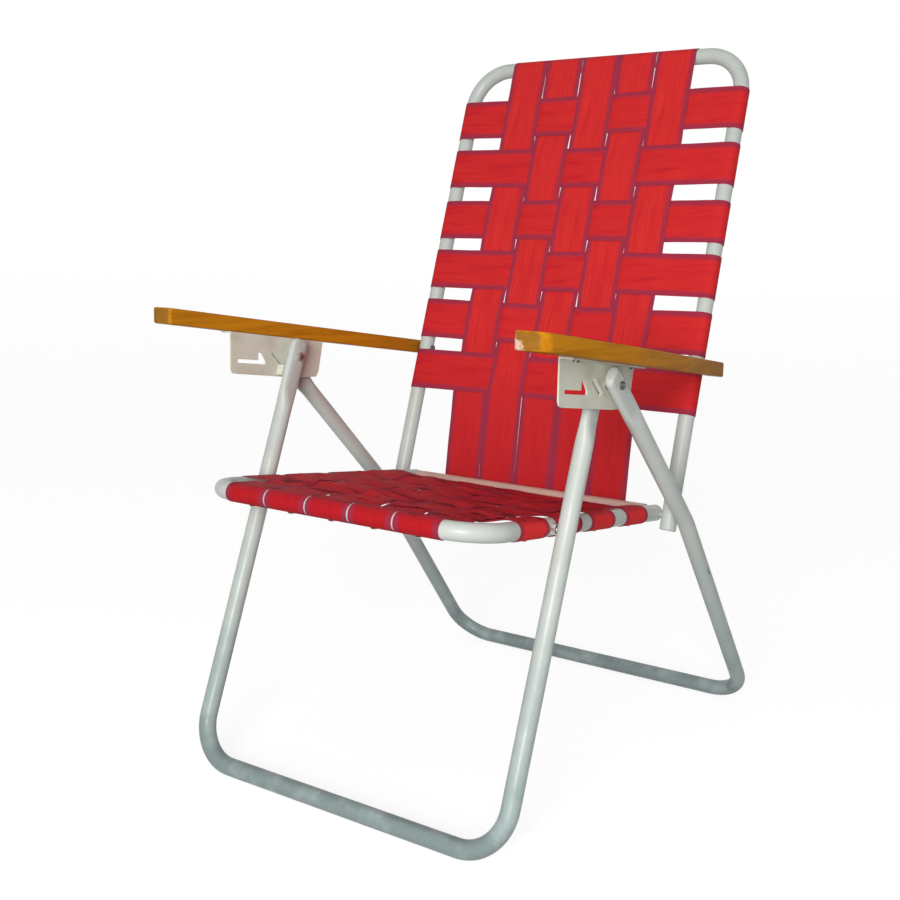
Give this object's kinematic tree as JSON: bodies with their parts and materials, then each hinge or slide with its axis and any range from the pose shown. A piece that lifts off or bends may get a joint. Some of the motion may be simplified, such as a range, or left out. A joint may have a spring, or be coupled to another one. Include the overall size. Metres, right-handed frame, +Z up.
{
  "type": "folding lawn chair",
  "caption": "Folding chair with bent tube leg, seat and back frames, woven webbing straps, flat wooden arms on bracket plates, and coupled hinges that fold it flat.",
  "frame": {"origin": "on the floor, in the middle of the open chair's outline seen from above", "axes": "+Z up; -Y is the way the sitter looks; +X is the sitter's left"},
  "size_m": [0.57, 0.6739, 0.9617],
  "materials": {
    "tube": "gloss light grey-white enamel on round steel tube",
    "plate": "satin cream enamel on pressed steel sheet",
    "arm_wood": "clear varnish over warm yellow-brown wood",
    "webbing": "plain woven plastic webbing, red with a purple stripe along each edge",
    "fastener": "zinc plated"
  },
  "bodies": {
    "front_legs": {"front_leg_frame": "tube", "main_pivot_bolt_left": "fastener", "main_pivot_bolt_right": "fastener", "main_pivot_nut_left": "fastener", "main_pivot_nut_right": "fastener", "main_pivot_inner_washer_left": "fastener", "main_pivot_inner_washer_right": "fastener", "main_pivot_outer_washer_left": "fastener", "main_pivot_outer_washer_right": "fastener", "seat_pivot_bolt_left": "fastener", "seat_pivot_bolt_right": "fastener", "seat_pivot_spacer_left": "fastener", "seat_pivot_spacer_right": "fastener"},
    "seat": {"seat_frame": "tube", "seat_rear_cross_tube": "tube", "seat_cross_strap_1": "webbing", "seat_cross_strap_2": "webbing", "seat_cross_strap_3": "webbing", "seat_cross_strap_4": "webbing", "seat_long_strap_1": "webbing", "seat_long_strap_2": "webbing", "seat_long_strap_3": "webbing", "seat_long_strap_4": "webbing", "seat_long_strap_5": "webbing", "back_pivot_rod": "fastener", "back_pivot_nut_left": "fastener", "back_pivot_nut_right": "fastener"},
    "back": {"back_frame": "tube", "back_cross_strap_1": "webbing", "back_cross_strap_2": "webbing", "back_cross_strap_3": "webbing", "back_cross_strap_4": "webbing", "back_cross_strap_5": "webbing", "back_cross_strap_6": "webbing", "back_long_strap_1": "webbing", "back_long_strap_2": "webbing", "back_long_strap_3": "webbing", "back_long_strap_4": "webbing", "back_long_strap_5": "webbing", "arm_rear_screw_left": "fastener", "arm_rear_screw_right": "fastener"},
    "left_arm": {"arm_left": "arm_wood", "bracket_plate_left": "plate", "plate_front_screw_left": "fastener", "plate_rear_screw_left": "fastener"},
    "right_arm": {"arm_right": "arm_wood", "bracket_plate_right": "plate", "plate_front_screw_right": "fastener", "plate_rear_screw_right": "fastener"},
    "rear_legs": {"rear_leg_frame": "tube"}
  },
  "joints": [
    {"name": "seat_fold", "type": "hinge", "parent": "front_legs", "child": "seat", "pos_m": [0, -0.18999, 0.35339], "axis": [-1, 0, 0], "range_deg": [0, 80]},
    {"name": "back_fold", "type": "hinge", "parent": "seat", "child": "back", "pos_m": [0, 0.09489, 0.32205], "axis": [1, 0, 0], "range_deg": [0, 68]},
    {"name": "left_arm_fold", "type": "hinge", "parent": "front_legs", "child": "left_arm", "pos_m": [0.244, -0.1315, 0.516], "axis": [-1, 0, 0], "range_deg": [0, 78]},
    {"name": "right_arm_fold", "type": "hinge", "parent": "front_legs", "child": "right_arm", "pos_m": [-0.244, -0.1315, 0.516], "axis": [-1, 0, 0], "range_deg": [0, 78]},
    {"name": "rear_leg_fold", "type": "hinge", "parent": "front_legs", "child": "rear_legs", "pos_m": [0, -0.1315, 0.516], "axis": [-1, 0, 0], "range_deg": [0, 57]}
  ],
  "couplings": [
    {"joint": "back_fold", "follows": "seat_fold", "ratio": 0.8375},
    {"joint": "left_arm_fold", "follows": "seat_fold", "ratio": 0.9625},
    {"joint": "right_arm_fold", "follows": "seat_fold", "ratio": 0.9625},
    {"joint": "rear_leg_fold", "follows": "seat_fold", "ratio": 0.7}
  ]
}
